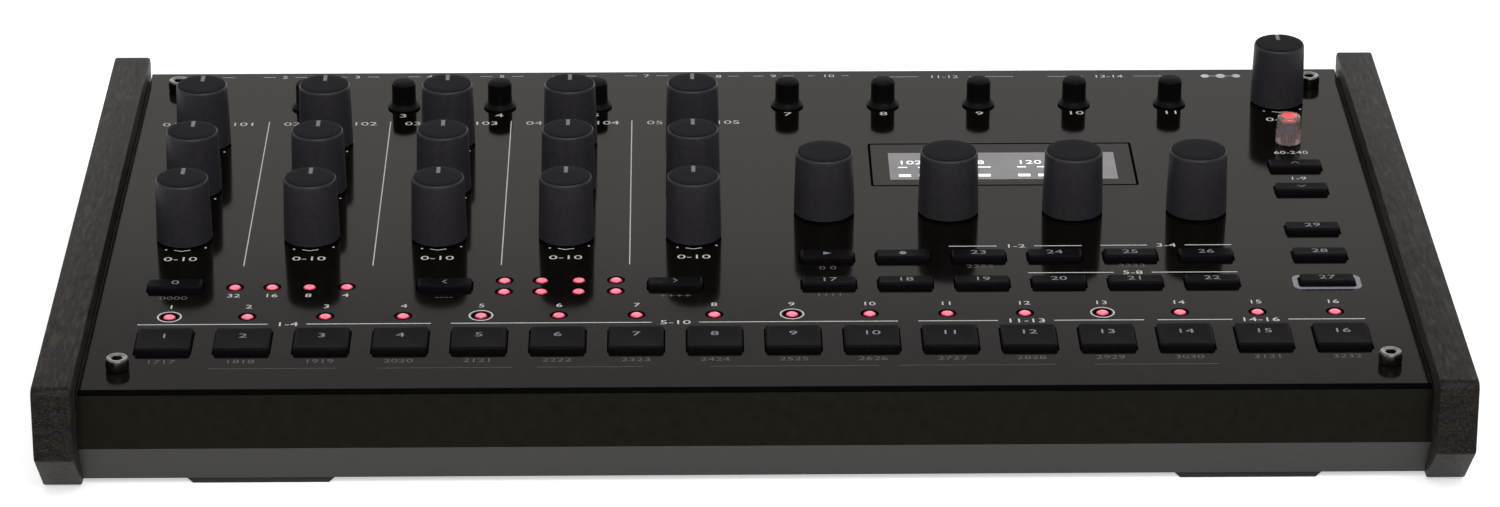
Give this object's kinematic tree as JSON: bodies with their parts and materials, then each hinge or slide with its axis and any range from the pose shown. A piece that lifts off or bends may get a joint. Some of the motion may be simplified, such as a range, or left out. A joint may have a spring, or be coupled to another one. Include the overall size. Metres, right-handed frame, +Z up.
{
  "type": "drum machine",
  "caption": "Desktop drum machine with sloping control panel, rotary knobs, step keys, display and wooden end cheeks",
  "frame": {"origin": "on the table under the middle of the case", "axes": "+X to the player's right along the step keys, +Y to the rear sockets, +Z up"},
  "size_m": [0.436, 0.264, 0.0685],
  "materials": {
    "panel": "semi-gloss black",
    "case_metal": "satin black",
    "wood": "black stained open grain",
    "rubber": "matte",
    "screw": "dark plated",
    "board": "solder mask",
    "component": "moulded",
    "lamp": "translucent red",
    "window": "clear, dark tinted",
    "socket": "moulded",
    "plating": "plated",
    "knob": "soft touch",
    "slim_knob": "satin",
    "clear_knob": "clear, lit red",
    "key": "matte"
  },
  "bodies": {
    "case": {"top_panel": "panel", "base_tray": "case_metal", "rear_panel": "case_metal", "left_cheek": "wood", "right_cheek": "wood", "rubber_feet": "rubber", "panel_screws": "screw", "case_screws": "screw", "control_board": "board", "jack_board": "board", "potentiometers": "component", "encoders": "component", "key_switches": "component", "status_lamps": "lamp", "display_window": "window", "display_module": "component", "phone_jacks": "socket", "mini_jacks": "socket", "midi_sockets": "socket", "usb_sockets": "plating", "dc_inlet": "socket"},
    "channel_1_front_knob": {"channel_1_front_knob": "knob"},
    "channel_1_middle_knob": {"channel_1_middle_knob": "knob"},
    "channel_1_rear_knob": {"channel_1_rear_knob": "knob"},
    "channel_2_front_knob": {"channel_2_front_knob": "knob"},
    "channel_2_middle_knob": {"channel_2_middle_knob": "knob"},
    "channel_2_rear_knob": {"channel_2_rear_knob": "knob"},
    "channel_3_front_knob": {"channel_3_front_knob": "knob"},
    "channel_3_middle_knob": {"channel_3_middle_knob": "knob"},
    "channel_3_rear_knob": {"channel_3_rear_knob": "knob"},
    "channel_4_front_knob": {"channel_4_front_knob": "knob"},
    "channel_4_middle_knob": {"channel_4_middle_knob": "knob"},
    "channel_4_rear_knob": {"channel_4_rear_knob": "knob"},
    "channel_5_front_knob": {"channel_5_front_knob": "knob"},
    "channel_5_middle_knob": {"channel_5_middle_knob": "knob"},
    "channel_5_rear_knob": {"channel_5_rear_knob": "knob"},
    "menu_knob_1": {"menu_knob_1": "knob"},
    "menu_knob_2": {"menu_knob_2": "knob"},
    "menu_knob_3": {"menu_knob_3": "knob"},
    "menu_knob_4": {"menu_knob_4": "knob"},
    "level_knob_1": {"level_knob_1": "slim_knob"},
    "level_knob_2": {"level_knob_2": "slim_knob"},
    "level_knob_3": {"level_knob_3": "slim_knob"},
    "level_knob_4": {"level_knob_4": "slim_knob"},
    "level_knob_5": {"level_knob_5": "slim_knob"},
    "level_knob_6": {"level_knob_6": "slim_knob"},
    "level_knob_7": {"level_knob_7": "slim_knob"},
    "level_knob_8": {"level_knob_8": "slim_knob"},
    "level_knob_9": {"level_knob_9": "slim_knob"},
    "level_knob_10": {"level_knob_10": "slim_knob"},
    "level_knob_11": {"level_knob_11": "slim_knob"},
    "volume_knob": {"volume_knob": "knob"},
    "tempo_knob": {"tempo_knob": "clear_knob"},
    "step_keys_left": {"step_keys_left": "key"},
    "step_keys_right": {"step_keys_right": "key"},
    "value_keys": {"value_keys": "key"},
    "pattern_keys": {"pattern_keys": "key"},
    "transport_keys": {"transport_keys": "key"},
    "side_keys": {"side_keys": "key"},
    "power_button": {"power_button": "key"}
  },
  "joints": [
    {"name": "channel_1_front_knob_turn", "type": "hinge", "parent": "case", "child": "channel_1_front_knob", "pos_m": [-0.1823, -0.00845, 0.04065], "axis": [0, -0.0523, 0.9986], "range_deg": [-150, 150]},
    {"name": "channel_1_middle_knob_turn", "type": "hinge", "parent": "case", "child": "channel_1_middle_knob", "pos_m": [-0.1823, 0.03014, 0.04267], "axis": [0, -0.0523, 0.9986], "range_deg": [-150, 150]},
    {"name": "channel_1_rear_knob_turn", "type": "hinge", "parent": "case", "child": "channel_1_rear_knob", "pos_m": [-0.1823, 0.06874, 0.0447], "axis": [0, -0.0523, 0.9986], "range_deg": [-150, 150]},
    {"name": "channel_2_front_knob_turn", "type": "hinge", "parent": "case", "child": "channel_2_front_knob", "pos_m": [-0.1413, -0.00845, 0.04065], "axis": [0, -0.0523, 0.9986], "range_deg": [-150, 150]},
    {"name": "channel_2_middle_knob_turn", "type": "hinge", "parent": "case", "child": "channel_2_middle_knob", "pos_m": [-0.1413, 0.03014, 0.04267], "axis": [0, -0.0523, 0.9986], "range_deg": [-150, 150]},
    {"name": "channel_2_rear_knob_turn", "type": "hinge", "parent": "case", "child": "channel_2_rear_knob", "pos_m": [-0.1413, 0.06874, 0.0447], "axis": [0, -0.0523, 0.9986], "range_deg": [-150, 150]},
    {"name": "channel_3_front_knob_turn", "type": "hinge", "parent": "case", "child": "channel_3_front_knob", "pos_m": [-0.1003, -0.00845, 0.04065], "axis": [0, -0.0523, 0.9986], "range_deg": [-150, 150]},
    {"name": "channel_3_middle_knob_turn", "type": "hinge", "parent": "case", "child": "channel_3_middle_knob", "pos_m": [-0.1003, 0.03014, 0.04267], "axis": [0, -0.0523, 0.9986], "range_deg": [-150, 150]},
    {"name": "channel_3_rear_knob_turn", "type": "hinge", "parent": "case", "child": "channel_3_rear_knob", "pos_m": [-0.1003, 0.06874, 0.0447], "axis": [0, -0.0523, 0.9986], "range_deg": [-150, 150]},
    {"name": "channel_4_front_knob_turn", "type": "hinge", "parent": "case", "child": "channel_4_front_knob", "pos_m": [-0.0593, -0.00845, 0.04065], "axis": [0, -0.0523, 0.9986], "range_deg": [-150, 150]},
    {"name": "channel_4_middle_knob_turn", "type": "hinge", "parent": "case", "child": "channel_4_middle_knob", "pos_m": [-0.0593, 0.03014, 0.04267], "axis": [0, -0.0523, 0.9986], "range_deg": [-150, 150]},
    {"name": "channel_4_rear_knob_turn", "type": "hinge", "parent": "case", "child": "channel_4_rear_knob", "pos_m": [-0.0593, 0.06874, 0.0447], "axis": [0, -0.0523, 0.9986], "range_deg": [-150, 150]},
    {"name": "channel_5_front_knob_turn", "type": "hinge", "parent": "case", "child": "channel_5_front_knob", "pos_m": [-0.0183, -0.00845, 0.04065], "axis": [0, -0.0523, 0.9986], "range_deg": [-150, 150]},
    {"name": "channel_5_middle_knob_turn", "type": "hinge", "parent": "case", "child": "channel_5_middle_knob", "pos_m": [-0.0183, 0.03014, 0.04267], "axis": [0, -0.0523, 0.9986], "range_deg": [-150, 150]},
    {"name": "channel_5_rear_knob_turn", "type": "hinge", "parent": "case", "child": "channel_5_rear_knob", "pos_m": [-0.0183, 0.06874, 0.0447], "axis": [0, -0.0523, 0.9986], "range_deg": [-150, 150]},
    {"name": "menu_knob_1_turn", "type": "hinge", "parent": "case", "child": "menu_knob_1", "pos_m": [0.0243, 0.01012, 0.04163], "axis": [0, -0.0523, 0.9986], "continuous": true},
    {"name": "menu_knob_2_turn", "type": "hinge", "parent": "case", "child": "menu_knob_2", "pos_m": [0.0648, 0.01012, 0.04163], "axis": [0, -0.0523, 0.9986], "continuous": true},
    {"name": "menu_knob_3_turn", "type": "hinge", "parent": "case", "child": "menu_knob_3", "pos_m": [0.1053, 0.01012, 0.04163], "axis": [0, -0.0523, 0.9986], "continuous": true},
    {"name": "menu_knob_4_turn", "type": "hinge", "parent": "case", "child": "menu_knob_4", "pos_m": [0.1458, 0.01012, 0.04163], "axis": [0, -0.0523, 0.9986], "continuous": true},
    {"name": "level_knob_1_turn", "type": "hinge", "parent": "case", "child": "level_knob_1", "pos_m": [-0.182, 0.0994, 0.0463], "axis": [0, -0.0523, 0.9986], "range_deg": [-150, 150]},
    {"name": "level_knob_2_turn", "type": "hinge", "parent": "case", "child": "level_knob_2", "pos_m": [-0.1493, 0.0994, 0.0463], "axis": [0, -0.0523, 0.9986], "range_deg": [-150, 150]},
    {"name": "level_knob_3_turn", "type": "hinge", "parent": "case", "child": "level_knob_3", "pos_m": [-0.1166, 0.0994, 0.0463], "axis": [0, -0.0523, 0.9986], "range_deg": [-150, 150]},
    {"name": "level_knob_4_turn", "type": "hinge", "parent": "case", "child": "level_knob_4", "pos_m": [-0.0839, 0.0994, 0.0463], "axis": [0, -0.0523, 0.9986], "range_deg": [-150, 150]},
    {"name": "level_knob_5_turn", "type": "hinge", "parent": "case", "child": "level_knob_5", "pos_m": [-0.0512, 0.0994, 0.0463], "axis": [0, -0.0523, 0.9986], "range_deg": [-150, 150]},
    {"name": "level_knob_6_turn", "type": "hinge", "parent": "case", "child": "level_knob_6", "pos_m": [-0.0185, 0.0994, 0.0463], "axis": [0, -0.0523, 0.9986], "range_deg": [-150, 150]},
    {"name": "level_knob_7_turn", "type": "hinge", "parent": "case", "child": "level_knob_7", "pos_m": [0.0142, 0.0994, 0.0463], "axis": [0, -0.0523, 0.9986], "range_deg": [-150, 150]},
    {"name": "level_knob_8_turn", "type": "hinge", "parent": "case", "child": "level_knob_8", "pos_m": [0.0469, 0.0994, 0.0463], "axis": [0, -0.0523, 0.9986], "range_deg": [-150, 150]},
    {"name": "level_knob_9_turn", "type": "hinge", "parent": "case", "child": "level_knob_9", "pos_m": [0.0796, 0.0994, 0.0463], "axis": [0, -0.0523, 0.9986], "range_deg": [-150, 150]},
    {"name": "level_knob_10_turn", "type": "hinge", "parent": "case", "child": "level_knob_10", "pos_m": [0.1123, 0.0994, 0.0463], "axis": [0, -0.0523, 0.9986], "range_deg": [-150, 150]},
    {"name": "level_knob_11_turn", "type": "hinge", "parent": "case", "child": "level_knob_11", "pos_m": [0.145, 0.0994, 0.0463], "axis": [0, -0.0523, 0.9986], "range_deg": [-150, 150]},
    {"name": "volume_knob_turn", "type": "hinge", "parent": "case", "child": "volume_knob", "pos_m": [0.18202, 0.1011, 0.04639], "axis": [0, -0.0523, 0.9986], "range_deg": [-150, 150]},
    {"name": "tempo_knob_turn", "type": "hinge", "parent": "case", "child": "tempo_knob", "pos_m": [0.18202, 0.06574, 0.04454], "axis": [0, -0.0523, 0.9986], "range_deg": [-150, 150]},
    {"name": "step_keys_left_press", "type": "slide", "parent": "case", "child": "step_keys_left", "axis": [0, 0.0523, -0.9986], "range_m": [0, 0.0008], "stiffness_N_per_m": 1500, "springref_m": -0.0008},
    {"name": "step_keys_right_press", "type": "slide", "parent": "case", "child": "step_keys_right", "axis": [0, 0.0523, -0.9986], "range_m": [0, 0.0008], "stiffness_N_per_m": 1500, "springref_m": -0.0008},
    {"name": "value_keys_press", "type": "slide", "parent": "case", "child": "value_keys", "axis": [0, 0.0523, -0.9986], "range_m": [0, 0.0008], "stiffness_N_per_m": 1500, "springref_m": -0.0008},
    {"name": "pattern_keys_press", "type": "slide", "parent": "case", "child": "pattern_keys", "axis": [0, 0.0523, -0.9986], "range_m": [0, 0.0008], "stiffness_N_per_m": 1500, "springref_m": -0.0008},
    {"name": "transport_keys_press", "type": "slide", "parent": "case", "child": "transport_keys", "axis": [0, 0.0523, -0.9986], "range_m": [0, 0.0008], "stiffness_N_per_m": 1500, "springref_m": -0.0008},
    {"name": "side_keys_press", "type": "slide", "parent": "case", "child": "side_keys", "axis": [0, 0.0523, -0.9986], "range_m": [0, 0.0008], "stiffness_N_per_m": 1500, "springref_m": -0.0008},
    {"name": "power_button_press", "type": "slide", "parent": "case", "child": "power_button", "axis": [0, -1, 0], "range_m": [0, 0.002], "stiffness_N_per_m": 400, "springref_m": -0.001}
  ]
}
